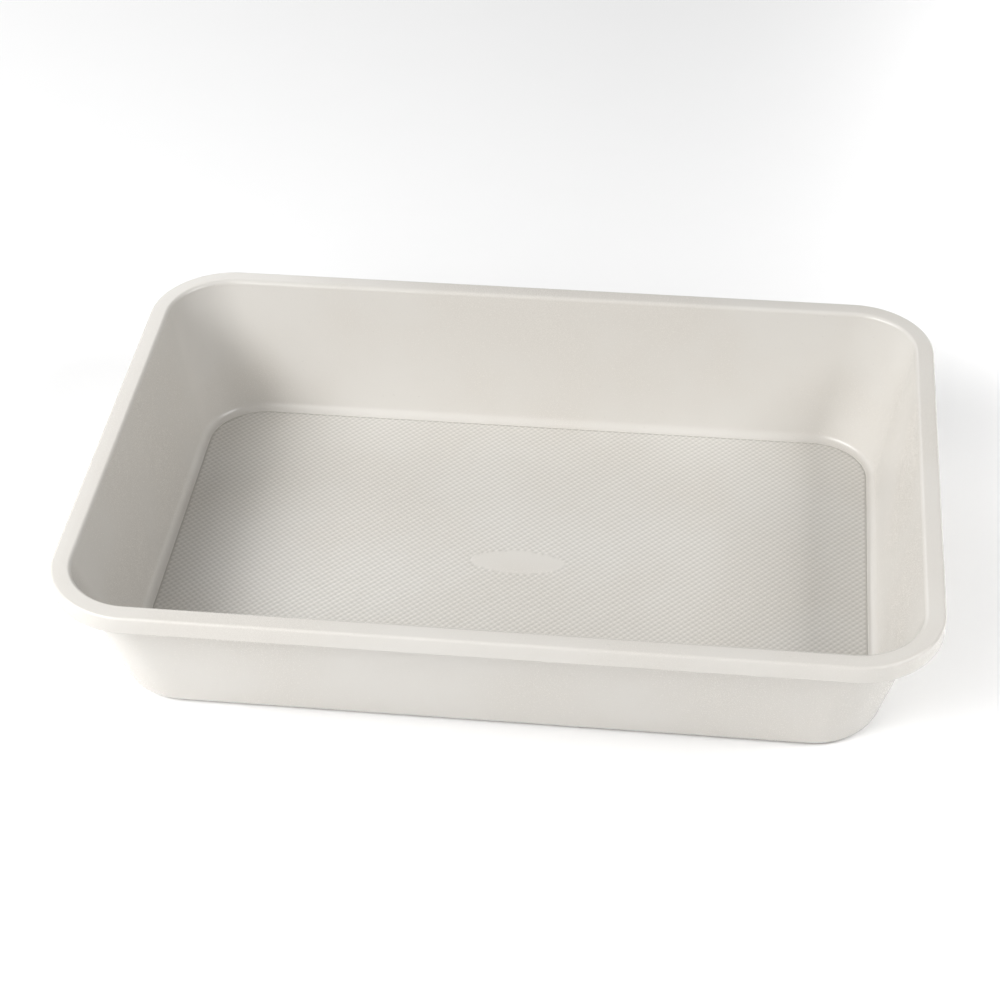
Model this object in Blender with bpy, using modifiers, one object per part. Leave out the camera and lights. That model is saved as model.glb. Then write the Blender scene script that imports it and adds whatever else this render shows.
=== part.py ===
"""A rectangular baking tray: one drawn sheet-steel shell and the wire hoop curled into its rim.

Metres, +Z up, +X along the length. The origin is on the ground under the tray's middle.
"""
import math

import bmesh
import bpy

LENGTH = 0.356  # over the rim
WIDTH = 0.247  # over the rim
HEIGHT = 0.063
SHEET = 0.0008  # thickness of the steel

RIM_CORNER_RADIUS = 0.0357  # of the rim's outer face, seen from above
RIM_BAND = 0.0085  # height of the rim's upright outer face, roundings included
RIM_TOP_ROUND = 0.0012  # from the flat top into the outer face
RIM_UNDER_ROUND = 0.0012  # from the outer face into the underside
RIM_FLAT_END = 0.0065  # how far in from the outer face the flat top reaches
CURL_FLAT_END = 0.0066  # how far in the curled underside stays flat
CURL_ROUND = 0.0018  # the last turn of the curl, up towards the wall
CURL_TURN = math.radians(50)

LIP_ROUND = 0.002  # from the flat top into the wall
FLOOR_INSET = 0.0246  # from the rim's outer face to the edge of the flat floor
FLOOR_CORNER_RADIUS = 0.025
FLOOR_FILLET = 0.0038  # from the floor into the wall

WIRE_DIAMETER = 0.006
WIRE_BUTT_GAP = 0.001  # between the hoop's two ends, on the back side

CORNER_STEPS = 10
FILLET_STEPS = 5
LIP_STEPS = 5
ROUND_STEPS = 4

DIAGONAL = math.sqrt(2)


def diagonal_inset(inset, corner_radius):
    """How far a ring lies in from the rim's outer face, measured across the corner."""
    return DIAGONAL * inset + (DIAGONAL - 1) * (corner_radius - RIM_CORNER_RADIUS)


def corner_radius(inset, across):
    """The corner radius of a ring, from its inset on the sides and its inset across the corner."""
    return RIM_CORNER_RADIUS + (across - DIAGONAL * inset) / (DIAGONAL - 1)


def wall_angle(floor_edge):
    """The wall's angle from upright, where it runs tangent to the lip's and the floor's roundings."""
    run = floor_edge - RIM_FLAT_END
    rise = HEIGHT - LIP_ROUND - SHEET - FLOOR_FILLET
    return math.acos((LIP_ROUND + FLOOR_FILLET) / math.hypot(run, rise)) - math.atan2(rise, run)


def wall_inset(floor_edge, z):
    """The inset of the tray's inner face at height z: floor rounding, straight wall or lip."""
    angle = wall_angle(floor_edge)
    fillet_z = SHEET + FLOOR_FILLET
    lip_z = HEIGHT - LIP_ROUND
    if z <= fillet_z - FLOOR_FILLET * math.sin(angle):
        return floor_edge - math.sqrt(max(FLOOR_FILLET**2 - (fillet_z - z) ** 2, 0))
    if z >= lip_z + LIP_ROUND * math.sin(angle):
        return RIM_FLAT_END + math.sqrt(max(LIP_ROUND**2 - (z - lip_z) ** 2, 0))
    foot = floor_edge - FLOOR_FILLET * math.cos(angle)
    return foot - (z - fillet_z + FLOOR_FILLET * math.sin(angle)) * math.tan(angle)


def wall_heights():
    """The heights of the rings from the floor's edge up to the flat of the rim."""
    angle = wall_angle(FLOOR_INSET)
    turn = math.pi / 2 - angle
    fillet = [SHEET + FLOOR_FILLET * (1 - math.cos(turn * i / FILLET_STEPS)) for i in range(FILLET_STEPS + 1)]
    lip = [HEIGHT - LIP_ROUND * (1 - math.cos(turn * i / LIP_STEPS)) for i in range(LIP_STEPS, -1, -1)]
    middle = (fillet[-1] + lip[0]) / 2
    return fillet + [middle] + lip


def arc(centre_inset, centre_z, radius, start, end):
    """Points (inset, z) round a centre. At angle 0 the point is outside it, and a quarter turn on, above."""
    angles = [start + (end - start) * i / ROUND_STEPS for i in range(ROUND_STEPS + 1)]
    return [(centre_inset - radius * math.cos(a), centre_z + radius * math.sin(a)) for a in angles]


def rim_section():
    """The rim's outside from the flat top, down the upright face and round the curl."""
    under_z = HEIGHT - RIM_BAND
    quarter = math.pi / 2
    top = arc(RIM_TOP_ROUND, HEIGHT - RIM_TOP_ROUND, RIM_TOP_ROUND, quarter, 0)
    under = arc(RIM_UNDER_ROUND, under_z + RIM_UNDER_ROUND, RIM_UNDER_ROUND, 0, -quarter)
    curl = arc(CURL_FLAT_END, under_z + CURL_ROUND, CURL_ROUND, -quarter, -quarter - CURL_TURN)
    return top + under + curl


def rounded_rectangle(inset, z, radius):
    """Points anticlockwise round a rounded rectangle that lies in from the rim's outer face."""
    centre_x = LENGTH / 2 - inset - radius
    centre_y = WIDTH / 2 - inset - radius
    points = []
    for quarter, (sign_x, sign_y) in enumerate(((1, 1), (-1, 1), (-1, -1), (1, -1))):
        for step in range(CORNER_STEPS + 1):
            angle = math.pi / 2 * (quarter + step / CORNER_STEPS)
            x = sign_x * centre_x + radius * math.cos(angle)
            y = sign_y * centre_y + radius * math.sin(angle)
            points.append((x, y, z))
    return points


def shell_rings():
    """Rings of the shell's upper face, from the floor's edge to the end of the curl."""
    floor_across = diagonal_inset(FLOOR_INSET, FLOOR_CORNER_RADIUS)
    rings = []
    for z in wall_heights():
        inset = wall_inset(FLOOR_INSET, z)
        radius = corner_radius(inset, wall_inset(floor_across, z))
        rings.append(rounded_rectangle(inset, z, radius))
    for inset, z in rim_section():
        rings.append(rounded_rectangle(inset, z, RIM_CORNER_RADIUS - inset))
    return rings


def make_material(name, colour, roughness, metallic):
    material = bpy.data.materials.new(name)
    material.use_nodes = True
    shader = material.node_tree.nodes["Principled BSDF"]
    shader.inputs["Base Color"].default_value = (*colour, 1)
    shader.inputs["Roughness"].default_value = roughness
    shader.inputs["Metallic"].default_value = metallic
    return material


def make_tray_shell(collection):
    """The pressing: a loft through its rings, since the corner radius changes on the way up."""
    bm = bmesh.new()
    rings = [[bm.verts.new(point) for point in ring] for ring in shell_rings()]
    bm.faces.new(rings[0])
    for inner, outer in zip(rings, rings[1:]):
        for i in range(len(inner)):
            bm.faces.new((inner[i], inner[i - 1], outer[i - 1], outer[i]))
    mesh = bpy.data.meshes.new("tray_shell")
    bm.to_mesh(mesh)
    bm.free()
    mesh.shade_smooth()
    mesh.set_sharp_from_angle(angle=math.radians(40))
    mesh.materials.append(make_material("ceramic_coating", (0.74, 0.72, 0.68), 0.35, 0))
    shell = bpy.data.objects.new("tray_shell", mesh)
    collection.objects.link(shell)
    sheet = shell.modifiers.new("Sheet", "SOLIDIFY")
    sheet.thickness = SHEET
    sheet.offset = -1  # the steel lies under and outside the modelled face
    sheet.use_even_offset = True
    sheet.use_quality_normals = True
    return shell


def make_rim_wire(collection):
    """The hoop, midway in the rim's hollow, with its butt joint in the middle of the back side."""
    radius = WIRE_DIAMETER / 2
    hollow_height = RIM_BAND - 2 * SHEET
    clearance = (hollow_height - WIRE_DIAMETER) / 2
    inset = SHEET + clearance + radius
    z = HEIGHT - RIM_BAND / 2
    ring = rounded_rectangle(inset, z, RIM_CORNER_RADIUS - inset)
    first = CORNER_STEPS + 1  # the ring starts at the back right corner, and the hoop after it
    back = WIDTH / 2 - inset
    path = [(-WIRE_BUTT_GAP / 2, back, z)] + ring[first:] + ring[:first] + [(WIRE_BUTT_GAP / 2, back, z)]
    curve = bpy.data.curves.new("rim_wire", "CURVE")
    curve.dimensions = "3D"
    curve.bevel_depth = radius
    curve.bevel_resolution = 2
    curve.use_fill_caps = True
    spline = curve.splines.new("POLY")
    spline.points.add(len(path) - 1)
    for point, place in zip(spline.points, path):
        point.co = (*place, 1)
    curve.materials.append(make_material("wire_steel", (0.56, 0.57, 0.58), 0.4, 1))
    wire = bpy.data.objects.new("rim_wire", curve)
    collection.objects.link(wire)
    return wire


def main():
    for old in list(bpy.data.objects):
        bpy.data.objects.remove(old, do_unlink=True)
    collection = bpy.data.collections.new("baking_tray")
    bpy.context.scene.collection.children.link(collection)
    make_tray_shell(collection)
    make_rim_wire(collection)


main()
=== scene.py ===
import math

import bpy
import numpy as np
from mathutils import Matrix, Vector


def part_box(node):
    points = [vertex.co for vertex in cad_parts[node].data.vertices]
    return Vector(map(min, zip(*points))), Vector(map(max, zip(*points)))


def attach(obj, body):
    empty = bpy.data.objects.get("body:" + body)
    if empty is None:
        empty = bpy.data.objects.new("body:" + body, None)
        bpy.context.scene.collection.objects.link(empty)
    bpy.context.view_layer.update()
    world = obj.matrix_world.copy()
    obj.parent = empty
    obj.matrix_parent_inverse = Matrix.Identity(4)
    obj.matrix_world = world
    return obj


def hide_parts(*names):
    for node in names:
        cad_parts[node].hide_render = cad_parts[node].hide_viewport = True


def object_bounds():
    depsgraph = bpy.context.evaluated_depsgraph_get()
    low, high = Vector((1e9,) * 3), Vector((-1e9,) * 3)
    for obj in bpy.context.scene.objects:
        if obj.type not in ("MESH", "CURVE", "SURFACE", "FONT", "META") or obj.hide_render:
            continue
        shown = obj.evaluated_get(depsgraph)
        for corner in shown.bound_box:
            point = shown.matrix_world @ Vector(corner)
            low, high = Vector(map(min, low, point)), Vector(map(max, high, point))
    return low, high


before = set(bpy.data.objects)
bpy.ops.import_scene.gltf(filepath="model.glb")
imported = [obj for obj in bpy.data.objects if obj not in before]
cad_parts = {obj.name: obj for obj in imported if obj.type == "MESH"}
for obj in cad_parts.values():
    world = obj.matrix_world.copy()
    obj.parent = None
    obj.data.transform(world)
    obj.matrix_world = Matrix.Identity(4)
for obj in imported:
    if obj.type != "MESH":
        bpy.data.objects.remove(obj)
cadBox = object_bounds()
mm = 0.001
shellLow, shellHigh = (np.array(corner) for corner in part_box("tray_shell"))
trayLength, trayWidth, trayHeight = shellHigh - shellLow
wireLow, wireHigh = (np.array(corner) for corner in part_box("rim_wire"))
print("frame loaded, tray", np.round((shellHigh - shellLow) / mm, 1), "mm")

# the steel pressing: every inset is measured in from the rim's upright outer face
pressing = {
    "sheet": 0.8 * mm,
    "rimCorner": 35.7 * mm,
    "rimBand": 8.5 * mm,  # height of the upright outer face, roundings included
    "topRound": 1.2 * mm,
    "underRound": 1.2 * mm,
    "rimFlatEnd": 6.5 * mm,
    "curlFlatEnd": 6.6 * mm,
    "curlRound": 1.8 * mm,
    "curlTurn": math.radians(50),
    "lipRound": 2.0 * mm,
    "floorInset": 24.6 * mm,
    "floorCorner": 25.0 * mm,
    "floorFillet": 3.8 * mm,
    "cornerSteps": 28,
    "filletSteps": 14,
    "wallSteps": 6,
    "rimSteps": 10,
}

# the coined floor: staggered pips inside a shallow groove, round a plain raised oval
floorPattern = {
    "inset": 24.95 * mm,  # outline of the pattern, from the rim's outer face
    "pitch": 3.16 * mm,  # between pips along X and along Y, with a pip in the middle of each square
    "stepsPerPitch": 4,
    "relief": 0.70 * mm,  # from the bottom of the grid to the top of a pip
    "pipAboveMargin": 0.35 * mm,
    "grooveWidth": 0.9 * mm,
    "ovalHalfLength": 20.4 * mm,
    "ovalHalfWidth": 7.1 * mm,
    "ovalCentre": (0.3 * mm, -0.9 * mm),
    "ovalAboveMargin": 0.07 * mm,
    "slabBottom": 0.25 * mm,
    "pocketBottom": 0.22 * mm,
    "pocketLip": 0.12 * mm,  # from the floor's margin down to the top of the pocket's side
    "tuck": 0.03 * mm,  # how far the slab reaches under the pocket's edge
    "outlineSnap": 0.02 * mm,  # grid points this near the outline, or past it, go onto it
    "ovalSnap": 0.45,  # and these near the oval's edge, in grid steps
    "ovalMargin": 0.05 * mm,  # points up to this far outside the oval's edge take its height
    "creaseAngle": 60,
}

rimWire = {
    "buttGap": 1.0 * mm,
    "sides": 24,
    "endChamfer": 0.4 * mm,
}


def steps(count):
    return np.linspace(0, 1, count + 1)


def smooth(t):
    # cubic ease: 3t^2 - 2t^3 on t held to 0..1
    t = np.clip(t, 0, 1)
    return t * t * (3 - 2 * t)


def unit(vectors):
    return vectors / np.linalg.norm(vectors, axis=-1, keepdims=True)


def acrossCorner(inset, radius):
    # inset of a rounded rectangle along the corner's diagonal: sqrt2 inset + (sqrt2 - 1)(radius - rim radius)
    return math.sqrt(2) * inset + (math.sqrt(2) - 1) * (radius - pressing["rimCorner"])


def cornerRadius(inset, across):
    # the same sum solved for the radius
    return pressing["rimCorner"] + (across - math.sqrt(2) * inset) / (math.sqrt(2) - 1)


def wallLean(floorEdge):
    # lean from upright of the line that touches the lip's circle and the floor fillet's circle
    run = floorEdge - pressing["rimFlatEnd"]
    rise = trayHeight - pressing["lipRound"] - pressing["sheet"] - pressing["floorFillet"]
    reach = (pressing["lipRound"] + pressing["floorFillet"]) / math.hypot(run, rise)
    return math.acos(reach) - math.atan2(rise, run)


def wallInset(floorEdge, z):
    # inset of the inner face at height z: fillet circle, then its tangent line, then the lip's circle
    lean = wallLean(floorEdge)
    fillet, lip = pressing["floorFillet"], pressing["lipRound"]
    filletZ, lipZ = pressing["sheet"] + fillet, trayHeight - lip
    foot = filletZ - fillet * math.sin(lean)
    head = lipZ + lip * math.sin(lean)
    low = floorEdge - np.sqrt(np.clip(fillet ** 2 - (filletZ - z) ** 2, 0, None))
    line = floorEdge - fillet * math.cos(lean) - (z - foot) * math.tan(lean)
    high = pressing["rimFlatEnd"] + np.sqrt(np.clip(lip ** 2 - (z - lipZ) ** 2, 0, None))
    return np.where(z <= foot, low, np.where(z >= head, high, line))


def arc(centreInset, centreZ, radius, start, end, count):
    # circle in the section: inset = centre - r cos a, z = centre + r sin a
    angle = start + (end - start) * steps(count)
    return np.stack([centreInset - radius * np.cos(angle), centreZ + radius * np.sin(angle)], axis=1)


def wallHeights():
    # ring heights from the floor's edge to the flat of the rim, evenly turned round both roundings
    turn = math.pi / 2 - wallLean(pressing["floorInset"])
    fillet = pressing["sheet"] + pressing["floorFillet"] * (1 - np.cos(turn * steps(pressing["filletSteps"])))
    lip = trayHeight - pressing["lipRound"] * (1 - np.cos(turn * steps(pressing["filletSteps"])[::-1]))
    between = fillet[-1] + (lip[0] - fillet[-1]) * steps(pressing["wallSteps"])[1:-1]
    return np.concatenate([fillet, between, lip])


def rimSection():
    # inset and z from the flat top over the edge, down the band and round the curl
    quarter = math.pi / 2
    count = pressing["rimSteps"]
    topRound, underRound, curlRound = pressing["topRound"], pressing["underRound"], pressing["curlRound"]
    underZ = trayHeight - pressing["rimBand"]
    top = arc(topRound, trayHeight - topRound, topRound, quarter, 0, count)
    under = arc(underRound, underZ + underRound, underRound, 0, -quarter, count)
    curlEnd = -quarter - pressing["curlTurn"]
    curl = arc(pressing["curlFlatEnd"], underZ + curlRound, curlRound, -quarter, curlEnd, count)
    return np.concatenate([top, under, curl])


def roundedRings(inset, z, radius):
    # one rounded rectangle a row: corner centre + radius (cos, sin), anticlockwise, shape rows x around x 3
    count = pressing["cornerSteps"]
    angle = np.concatenate([quarter + steps(count) for quarter in range(4)]) * math.pi / 2
    signX = np.repeat([1, -1, -1, 1], count + 1)
    signY = np.repeat([1, 1, -1, -1], count + 1)
    inset, z, radius = (np.asarray(values, float)[:, None] for values in (inset, z, radius))
    x = signX * (trayLength / 2 - inset - radius) + radius * np.cos(angle)
    y = signY * (trayWidth / 2 - inset - radius) + radius * np.sin(angle)
    return np.stack([x, y, np.broadcast_to(z, x.shape)], axis=-1)


def gridNormals(grid):
    # cross product of the mean unit step outwards and the mean unit step round, at each point of the rings
    outward = unit(np.diff(grid, axis=0))
    outward = np.concatenate([outward[:1], outward]) + np.concatenate([outward, outward[-1:]])
    sideways = unit(np.roll(grid, -1, axis=1) - grid)
    sideways = sideways + np.roll(sideways, 1, axis=1)
    return unit(np.cross(outward, sideways))


def ringFaces(rows, around):
    # quads between neighbouring rings, facing up where the rings run outwards
    index = np.arange(rows * around).reshape(rows, around)
    before = np.roll(index, 1, axis=1)
    return np.stack([index[:-1], before[:-1], before[1:], index[1:]], axis=-1).reshape(-1, 4)


def meshPiece(name, points, faces, material, creaseAngle=38):
    mesh = bpy.data.meshes.new(name)
    mesh.from_pydata(points.tolist(), [], faces)
    mesh.validate()
    mesh.shade_smooth()
    mesh.set_sharp_from_angle(angle=math.radians(creaseAngle))
    mesh.materials.append(material)
    piece = bpy.data.objects.new(name, mesh)
    bpy.context.scene.collection.objects.link(piece)
    return piece


class Value:
    # a shader socket that takes part in sums; each sum adds a Math node
    def __init__(self, finish, socket):
        self.finish, self.socket = finish, socket

    def sum(self, operation, first, second):
        inputs = {0: first, 1: second}
        return self.finish.node("ShaderNodeMath", {"operation": operation}, inputs)["Value"]

    def __add__(self, other):
        return self.sum("ADD", self, other)

    def __sub__(self, other):
        return self.sum("SUBTRACT", self, other)

    def __rsub__(self, other):
        return self.sum("SUBTRACT", other, self)

    def __mul__(self, other):
        return self.sum("MULTIPLY", self, other)

    def __pow__(self, other):
        return self.sum("POWER", self, other)

    __radd__, __rmul__ = __add__, __mul__


class Finish:
    # one material and its nodes
    def __init__(self, name):
        self.material = bpy.data.materials.new(name)
        self.material.use_nodes = True
        self.tree = self.material.node_tree
        self.tree.nodes.clear()

    def node(self, kind, settings=None, inputs=None):
        made = self.tree.nodes.new(kind)
        for key, value in (settings or {}).items():
            setattr(made, key, value)
        for key, value in (inputs or {}).items():
            if isinstance(value, Value):
                self.tree.links.new(value.socket, made.inputs[key])
            else:
                made.inputs[key].default_value = value
        return {socket.name: Value(self, socket) for socket in made.outputs if socket.enabled}

    def noise(self, place, scale, detail=2.0, roughness=0.5, stretch=(1, 1, 1)):
        if stretch != (1, 1, 1):
            place = self.node("ShaderNodeMapping", None, {"Vector": place, "Scale": stretch})["Vector"]
        inputs = {"Vector": place, "Scale": scale, "Detail": detail, "Roughness": roughness}
        return self.node("ShaderNodeTexNoise", None, inputs)["Fac"]

    def ramp(self, value, low, high):
        # 0 below low, 1 above high, eased between
        settings = {"interpolation_type": "SMOOTHSTEP"}
        inputs = {"Value": value, "From Min": low, "From Max": high}
        return self.node("ShaderNodeMapRange", settings, inputs)["Result"]

    def blendColours(self, factor, first, second, way="MIX"):
        # a Mix node's colour sockets are its inputs 6 and 7
        settings = {"data_type": "RGBA", "blend_type": way}
        return self.node("ShaderNodeMix", settings, {0: factor, 6: first, 7: second})["Result"]

    def surface(self, fixed, varying):
        shader = self.node("ShaderNodeBsdfPrincipled", None, {**fixed, **varying})["BSDF"]
        self.node("ShaderNodeOutputMaterial", None, {"Surface": shader})
        return self.material


coating = {
    "base": (0.620, 0.600, 0.565, 1),
    "warm": (0.600, 0.575, 0.535, 1),
    "speck": (0.50, 0.48, 0.45, 1),
    "scuff": (0.50, 0.49, 0.47, 1),
    # the coined floor's colour is multiplied by these, low to high, to strengthen the pattern's contrast:
    # painted shade in the grooves and painted light on the crests, standing in for the shading of the pips
    "paintedGrooveShade": (0.82, 0.82, 0.815, 1),
    "paintedCrestLight": (1.10, 1.10, 1.10, 1),
    "cloudEdges": (0.35, 0.65),  # noise values where the warm tone starts and is full
    "speckEdges": (0.72, 0.80),
    "speckAmount": 0.35,
    "strokeScale": 60,
    "strokeStretch": 14,  # rub marks are this many times finer across than along, lengthwise
    "crossStretch": 12,
    "scuffEdges": (0.27, 0.36),
    "scuffAmount": 0.45,
    "undersideEdges": (0.05 * mm, 0.2 * mm),  # heights where the rub marks are full and gone
    "cloudRough": 0.06,
    "grainRough": 0.08,
    "scuffRough": 0.12,
    "grainBump": 0.25,  # of the orange peel's height
    "roughness": 0.26,
    "cloudScale": 14,
    "peelScale": 420,  # orange peel of the sprayed coat, about 2 mm across
    "grainScale": 2600,
    "speckScale": 900,
    "peelHeight": 0.010 * mm,
}


def coatingFinish(name, paintedShadeHeights=None):
    # the second argument holds the heights of the bottom and the top of a coined pattern, between which the
    # colour is toned from painted shade at the bottom to painted light at the top
    finish = Finish(name)
    place = finish.node("ShaderNodeTexCoord")["Object"]
    height = finish.node("ShaderNodeSeparateXYZ", None, {"Vector": place})["Z"]
    cloud = finish.noise(place, coating["cloudScale"], 3)
    peel = finish.noise(place, coating["peelScale"], 2)
    grain = finish.noise(place, coating["grainScale"], 1)
    speck = finish.ramp(finish.noise(place, coating["speckScale"], 1), *coating["speckEdges"])
    # sliding on shelves rubs the underside in faint lengthwise and crosswise strokes
    lengthwise = finish.noise(place, coating["strokeScale"], 3, 0.6, (1, coating["strokeStretch"], 1))
    crosswise = finish.noise(place, coating["strokeScale"], 3, 0.6, (coating["crossStretch"], 1, 1))
    underside = 1 - finish.ramp(height, *coating["undersideEdges"])
    scuff = finish.ramp(lengthwise * crosswise, *coating["scuffEdges"]) * underside
    warmth = finish.ramp(cloud, *coating["cloudEdges"])
    colour = finish.blendColours(warmth, coating["base"], coating["warm"])
    colour = finish.blendColours(speck * coating["speckAmount"], colour, coating["speck"])
    colour = finish.blendColours(scuff * coating["scuffAmount"], colour, coating["scuff"])
    if paintedShadeHeights:
        # painted shade darkens the colour low in the grooves and painted light brightens it on the crests
        tone = finish.blendColours(finish.ramp(height, *paintedShadeHeights), coating["paintedGrooveShade"], coating["paintedCrestLight"])
        colour = finish.blendColours(1.0, colour, tone, "MULTIPLY")
    roughness = coating["roughness"] + (cloud - 0.5) * coating["cloudRough"]
    roughness = roughness + (grain - 0.5) * coating["grainRough"] + scuff * coating["scuffRough"]
    bump = finish.node("ShaderNodeBump", None, {
        "Strength": 1.0,
        "Distance": coating["peelHeight"],
        "Height": peel + grain * coating["grainBump"],
    })["Normal"]
    return finish.surface(
        {"IOR": 1.5, "Metallic": 0.0},
        {"Base Color": colour, "Roughness": roughness, "Normal": bump},
    )


wireSteel = {
    "dark": (0.42, 0.42, 0.43, 1),
    "light": (0.60, 0.60, 0.61, 1),
    "stain": (0.30, 0.27, 0.24, 1),
    "stainAmount": 0.4,
    "stainEdges": (0.55, 0.7),
    "roughness": 0.30,
    "dieRough": 0.15,
    "patchRough": 0.08,
    "dieDepth": 0.01 * mm,
}


def steelFinish():
    finish = Finish("drawn_wire_steel")
    place = finish.node("ShaderNodeUVMap", {"uv_map": "alongWire"})["UV"]
    dies = finish.noise(place, 6, 4, 0.6, (0.02, 60, 1))  # die lines run along the wire
    patches = finish.noise(place, 9, 3)
    colour = finish.blendColours(dies, wireSteel["dark"], wireSteel["light"])
    stain = finish.ramp(patches, *wireSteel["stainEdges"]) * wireSteel["stainAmount"]
    colour = finish.blendColours(stain, colour, wireSteel["stain"])
    roughness = wireSteel["roughness"] + dies * wireSteel["dieRough"] + patches * wireSteel["patchRough"]
    bumpInputs = {"Strength": 1.0, "Distance": wireSteel["dieDepth"], "Height": dies}
    bump = finish.node("ShaderNodeBump", None, bumpInputs)["Normal"]
    return finish.surface({"Metallic": 1.0}, {"Base Color": colour, "Roughness": roughness, "Normal": bump})


def makeShell(material):
    # upper face ring by ring from the pocket in the floor out to the end of the curl, and the same rings
    # moved one sheet's thickness along their normals for the lower face
    edge = pressing["floorInset"]
    acrossFloor = acrossCorner(edge, pressing["floorCorner"])
    z = wallHeights()
    inset = wallInset(edge, z)
    radius = cornerRadius(inset, wallInset(acrossFloor, z))
    rim = rimSection()
    marginInset = (edge + floorPattern["inset"]) / 2
    marginRadius = pressing["floorCorner"] - (marginInset - edge)
    grid = roundedRings(
        np.concatenate([[marginInset], inset, rim[:, 0]]),
        np.concatenate([[pressing["sheet"]], z, rim[:, 1]]),
        np.concatenate([[marginRadius], radius, pressing["rimCorner"] - rim[:, 0]]),
    )
    pocketRadius = pressing["floorCorner"] - (floorPattern["inset"] - edge)
    pocket = roundedRings(
        [floorPattern["inset"]] * 2,
        [floorPattern["pocketBottom"], pressing["sheet"] - floorPattern["pocketLip"]],
        [pocketRadius] * 2,
    )
    under = grid - pressing["sheet"] * gridNormals(grid)
    rings = np.concatenate([pocket, grid, under[::-1]])
    rows, around = rings.shape[:2]
    faces = ringFaces(rows, around).tolist()
    faces.append(list(range(around)))
    faces.append(list(range((rows - 1) * around, rows * around))[::-1])
    return meshPiece("pressed_shell", rings.reshape(-1, 3), faces, material)


def outlineDistance(x, y, halfX, halfY, radius):
    # signed distance to a rounded rectangle, negative inside, and the direction away from it
    qx, qy = np.abs(x) - (halfX - radius), np.abs(y) - (halfY - radius)
    corner = np.hypot(np.maximum(qx, 0), np.maximum(qy, 0))
    distance = np.minimum(np.maximum(qx, qy), 0) + corner - radius
    inCorner = (qx > 0) & (qy > 0)
    safe = np.where(corner > 0, corner, 1)
    awayX = np.where(inCorner, qx / safe, (qx > qy).astype(float)) * np.sign(x)
    awayY = np.where(inCorner, qy / safe, (qx <= qy).astype(float)) * np.sign(y)
    return distance, awayX, awayY


def ovalDistance(x, y):
    # distance to an ellipse, to first order: (f - 1) / |gradient f| with f the ellipse's radius function
    cx, cy = floorPattern["ovalCentre"]
    u, v = (x - cx) / floorPattern["ovalHalfLength"], (y - cy) / floorPattern["ovalHalfWidth"]
    f = np.maximum(np.hypot(u, v), 1e-6)
    gradX, gradY = u / f / floorPattern["ovalHalfLength"], v / f / floorPattern["ovalHalfWidth"]
    slope = np.hypot(gradX, gradY)
    return (f - 1) / slope, gradX / slope, gradY / slope


def patternHeights():
    # the bottom of the grid and the top of the pips
    top = pressing["sheet"] + floorPattern["pipAboveMargin"]
    return top - floorPattern["relief"], top


def floorHeight(x, y, toOutline, toOval):
    # pips as the product of two cosines, sunk to a groove round the outline and round the oval
    wave = 2 * math.pi / floorPattern["pitch"]
    bottom, top = patternHeights()
    pips = (1 + np.cos(wave * x) * np.cos(wave * y)) / 2
    fade = smooth(-toOutline / floorPattern["grooveWidth"]) * smooth(toOval / floorPattern["grooveWidth"])
    z = bottom + (top - bottom) * pips * fade
    ovalTop = pressing["sheet"] + floorPattern["ovalAboveMargin"]
    return np.where(toOval <= floorPattern["ovalMargin"], ovalTop, z)


def makeFloor(material):
    # square grid under the height function; points past the outline are drawn back onto it
    pitch = floorPattern["pitch"] / floorPattern["stepsPerPitch"]
    halfX = trayLength / 2 - floorPattern["inset"] + floorPattern["tuck"]
    halfY = trayWidth / 2 - floorPattern["inset"] + floorPattern["tuck"]
    radius = pressing["floorCorner"] - (floorPattern["inset"] - pressing["floorInset"])
    countX, countY = math.ceil(halfX / pitch), math.ceil(halfY / pitch)
    x, y = np.meshgrid(np.arange(-countX, countX + 1) * pitch, np.arange(-countY, countY + 1) * pitch)
    toOutline, awayX, awayY = outlineDistance(x, y, halfX, halfY, radius)
    outside = toOutline > -floorPattern["outlineSnap"]
    x = np.where(outside, x - toOutline * awayX, x)
    y = np.where(outside, y - toOutline * awayY, y)
    toOval, ovalX, ovalY = ovalDistance(x, y)
    near = np.abs(toOval) < pitch * floorPattern["ovalSnap"]
    x, y = np.where(near, x - toOval * ovalX, x), np.where(near, y - toOval * ovalY, y)
    toOval = np.where(near, 0, toOval)
    z = floorHeight(x, y, np.minimum(toOutline, 0), toOval)
    top = np.stack([x, y, z], axis=-1).reshape(-1, 3)
    index = np.arange(x.size).reshape(x.shape)
    quads = np.stack([index[:-1, :-1], index[:-1, 1:], index[1:, 1:], index[1:, :-1]], axis=-1).reshape(-1, 4)
    quads = quads[~outside.ravel()[quads].all(axis=1)]
    # the outline's points in order of their bearing, for the slab's side and underside
    used = np.unique(quads)
    loop = used[outside.ravel()[used]]
    loop = loop[np.argsort(np.arctan2(top[loop, 1], top[loop, 0]))]
    below = top[loop] * [1, 1, 0] + [0, 0, floorPattern["slabBottom"]]
    underLoop = len(top) + np.arange(len(loop))
    side = np.stack([loop, underLoop, np.roll(underLoop, -1), np.roll(loop, -1)], axis=-1)
    points = np.concatenate([top, below])
    faces = np.concatenate([quads, side])
    keep, faces = np.unique(faces, return_inverse=True)
    faces = faces.reshape(-1, 4)
    cap = np.searchsorted(keep, underLoop)[::-1]
    faces = faces.tolist() + [cap.tolist()]
    return meshPiece("dimpled_floor", points[keep], faces, material, floorPattern["creaseAngle"])


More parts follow.
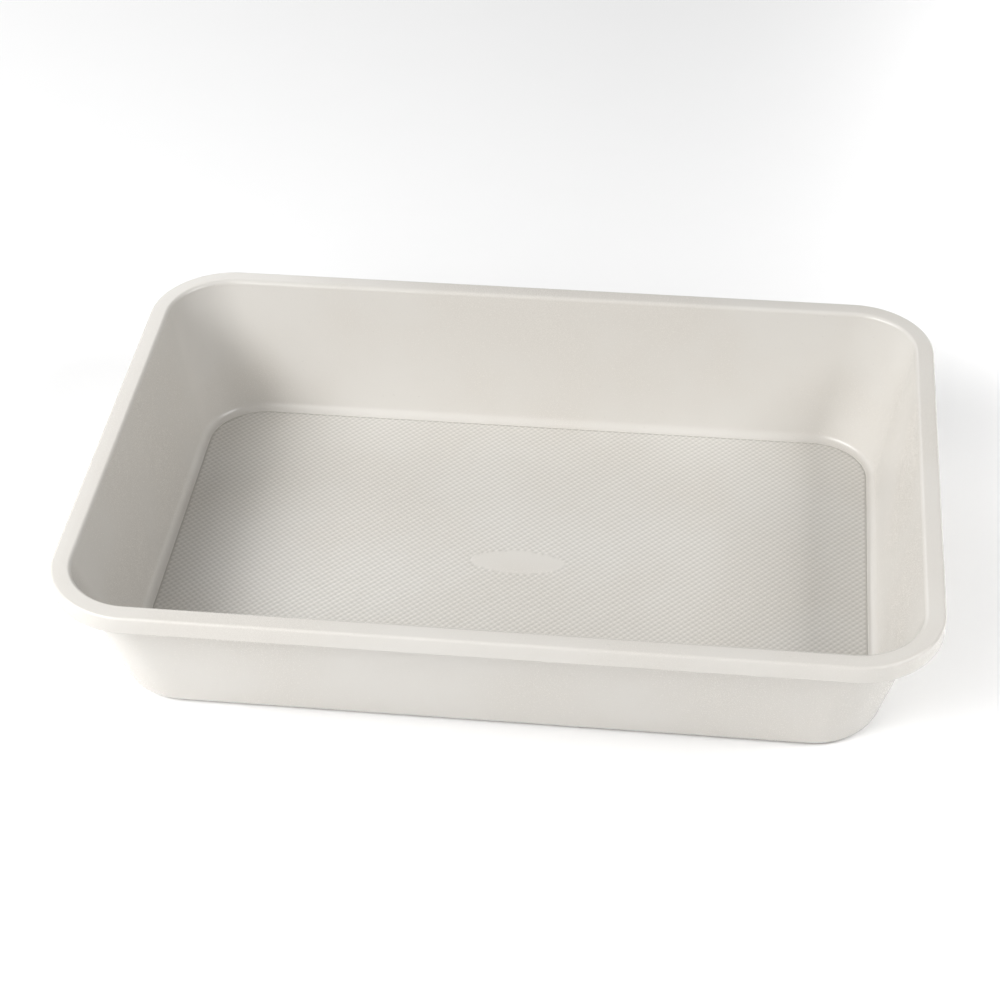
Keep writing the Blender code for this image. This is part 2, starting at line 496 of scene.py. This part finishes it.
def makeWire(material):
    # a circle carried round the rim's rounded rectangle, its ends butted in the middle of the back
    radius = (wireHigh - wireLow)[2] / 2
    inset = trayLength / 2 - wireHigh[0] + radius
    centreZ = (wireHigh + wireLow)[2] / 2
    ring = roundedRings([inset], [centreZ], [pressing["rimCorner"] - inset])[0]
    first = pressing["cornerSteps"] + 1
    back = trayWidth / 2 - inset
    gap = rimWire["buttGap"] / 2
    chamfer = rimWire["endChamfer"]
    start = [[-gap, back, centreZ], [-gap - chamfer, back, centreZ]]
    end = [[gap + chamfer, back, centreZ], [gap, back, centreZ]]
    path = np.concatenate([start, ring[first:], ring[:first], end])
    heading = unit(np.diff(path, axis=0))
    heading = unit(np.concatenate([heading[:1], heading]) + np.concatenate([heading, heading[-1:]]))
    up = np.array([0.0, 0.0, 1.0])
    aside = np.cross(heading, up)
    angle = 2 * math.pi * np.arange(rimWire["sides"]) / rimWire["sides"]
    size = np.full(len(path), radius)
    size[[0, -1]] -= chamfer
    circle = aside[:, None] * np.cos(angle)[:, None] + up * np.sin(angle)[:, None]
    points = path[:, None] + size[:, None, None] * circle
    rows, around = points.shape[:2]
    faces = ringFaces(rows, around)[:, ::-1].tolist()
    faces.append(list(range(around)))
    faces.append(list(range((rows - 1) * around, rows * around))[::-1])
    wire = meshPiece("round_wire", points.reshape(-1, 3), faces, material)
    travel = np.concatenate([[0], np.cumsum(np.linalg.norm(np.diff(path, axis=0), axis=1))])
    uv = np.stack(np.broadcast_arrays(travel[:, None] * 10, angle / (2 * math.pi)), axis=-1).reshape(-1, 2)
    corners = np.empty(len(wire.data.loops), int)
    wire.data.loops.foreach_get("vertex_index", corners)
    wire.data.uv_layers.new(name="alongWire").data.foreach_set("uv", uv[corners].ravel())
    return wire


camera = {
    "azimuth": 6.98,
    "elevation": 38.62,
    "roll": -0.86,
    "distance": 1.0401,
    "aim": (-7.9 * mm, 6.9 * mm, -2.6 * mm),  # from the middle of the tray's box
    "lens": 86.0,
}


def makeCamera():
    azimuth, elevation = math.radians(camera["azimuth"]), math.radians(camera["elevation"])
    look = Vector((-math.sin(azimuth) * math.cos(elevation), math.cos(azimuth) * math.cos(elevation),
                   -math.sin(elevation)))
    right = look.cross(Vector((0, 0, 1))).normalized()
    right = Matrix.Rotation(math.radians(-camera["roll"]), 3, look) @ right
    up = right.cross(look)
    middle = (cadBox[0] + cadBox[1]) / 2 + Vector(camera["aim"])
    data = bpy.data.cameras.new("camera")
    data.lens = camera["lens"]
    data.clip_start, data.clip_end = 0.05, 20
    made = bpy.data.objects.new("camera", data)
    turn = Matrix((right, up, -look)).transposed().to_4x4()
    made.matrix_world = Matrix.Translation(middle - look * camera["distance"]) @ turn
    bpy.context.scene.collection.objects.link(made)
    bpy.context.scene.camera = made


studio = {
    "floorColour": (0.90, 0.90, 0.90, 1),
    "floorGrain": (0.89, 0.89, 0.89, 1),
    "floorHalf": 4.0,
    "floorDrop": 0.15 * mm,  # the floor lies this far under the tray
    "worldStrength": 0.12,
    # softboxes aimed at the tray: azimuth, elevation, distance, width, height, watts
    "softboxes": {
        "keyFrontLeft": (-45, 40, 1.6, 0.7, 0.5, 12.6),
        "keyLeft": (-75, 40, 1.6, 0.7, 0.5, 10.6),
        "fillRight": (75, 40, 1.6, 0.7, 0.5, 9.9),
        "lowFront": (-30, 28, 1.6, 0.8, 0.6, 5.6),
        "lowLeft": (-60, 28, 1.6, 0.8, 0.6, 2.7),
        "lowRight": (90, 28, 1.6, 0.8, 0.6, 2.0),
        "backLeft": (-120, 28, 1.6, 0.8, 0.6, 1.6),
        "back": (-150, 28, 1.6, 0.8, 0.6, 3.5),
        "rimRight": (150, 9, 1.8, 0.9, 0.45, 1.6),
    },
    # a narrow-spread lamp that looks down on the floor beyond the right end and washes out the shadow there
    "washPlace": (0.75, 0.1, 0.6),
    "washTilt": 12,
    "washSize": (0.4, 1.2),
    "washSpread": 60,
    "washWatts": 6.2,
}


def areaLight(name, width, height, watts):
    data = bpy.data.lights.new(name, "AREA")
    data.shape, data.size, data.size_y, data.energy = "RECTANGLE", width, height, watts
    light = bpy.data.objects.new(name, data)
    light.visible_camera = False
    bpy.context.scene.collection.objects.link(light)
    return light


def makeSoftbox(name, azimuth, elevation, distance, width, height, watts):
    # place = distance (sin a cos e, -cos a cos e, sin e), looking back at the origin
    azimuth, elevation = math.radians(azimuth), math.radians(elevation)
    towards = Vector((math.sin(azimuth) * math.cos(elevation), -math.cos(azimuth) * math.cos(elevation),
                      math.sin(elevation)))
    light = areaLight(name, width, height, watts)
    light.location = towards * distance
    light.rotation_euler = towards.to_track_quat("Z", "Y").to_euler()


def makeWash():
    light = areaLight("floorWash", *studio["washSize"], studio["washWatts"])
    light.data.spread = math.radians(studio["washSpread"])
    light.location = studio["washPlace"]
    light.rotation_euler = (0, math.radians(studio["washTilt"]), 0)


def makeStage():
    finish = Finish("studio_floor")
    grain = finish.noise(finish.node("ShaderNodeTexCoord")["Object"], 30, 2)
    tone = finish.blendColours(grain, studio["floorColour"], studio["floorGrain"])
    material = finish.surface({"Roughness": 1.0, "Specular IOR Level": 0.0}, {"Base Color": tone})
    half, drop = studio["floorHalf"], studio["floorDrop"]
    corners = np.array([[-1, -1], [1, -1], [1, 1], [-1, 1]]) * half
    corners = np.column_stack([corners, np.full(len(corners), -drop)])
    meshPiece("studio_floor", corners, [[0, 1, 2, 3]], material)
    world = bpy.data.worlds.new("studio")
    world.use_nodes = True
    world.node_tree.nodes["Background"].inputs["Color"].default_value = (1, 1, 1, 1)
    world.node_tree.nodes["Background"].inputs["Strength"].default_value = studio["worldStrength"]
    bpy.context.scene.world = world
    for name, values in studio["softboxes"].items():
        makeSoftbox(name, *values)
    makeWash()
    bpy.context.scene.view_settings.view_transform = "Standard"


makeCamera()
makeStage()
print("camera and studio made")

shellMaterial = coatingFinish("ceramic_coating")
shell = makeShell(shellMaterial)
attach(shell, "root")
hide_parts("tray_shell")
print("shell made", len(shell.data.polygons))

# the coined floor's material carries painted shade in its grooves and painted light on its crests
floor = makeFloor(coatingFinish("ceramic_coating_coined_painted_shade_and_light", patternHeights()))
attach(floor, "root")
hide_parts("tray_shell")
print("floor made", len(floor.data.polygons))

wire = makeWire(steelFinish())
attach(wire, "root")
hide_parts("rim_wire")
print("wire made", len(wire.data.polygons))
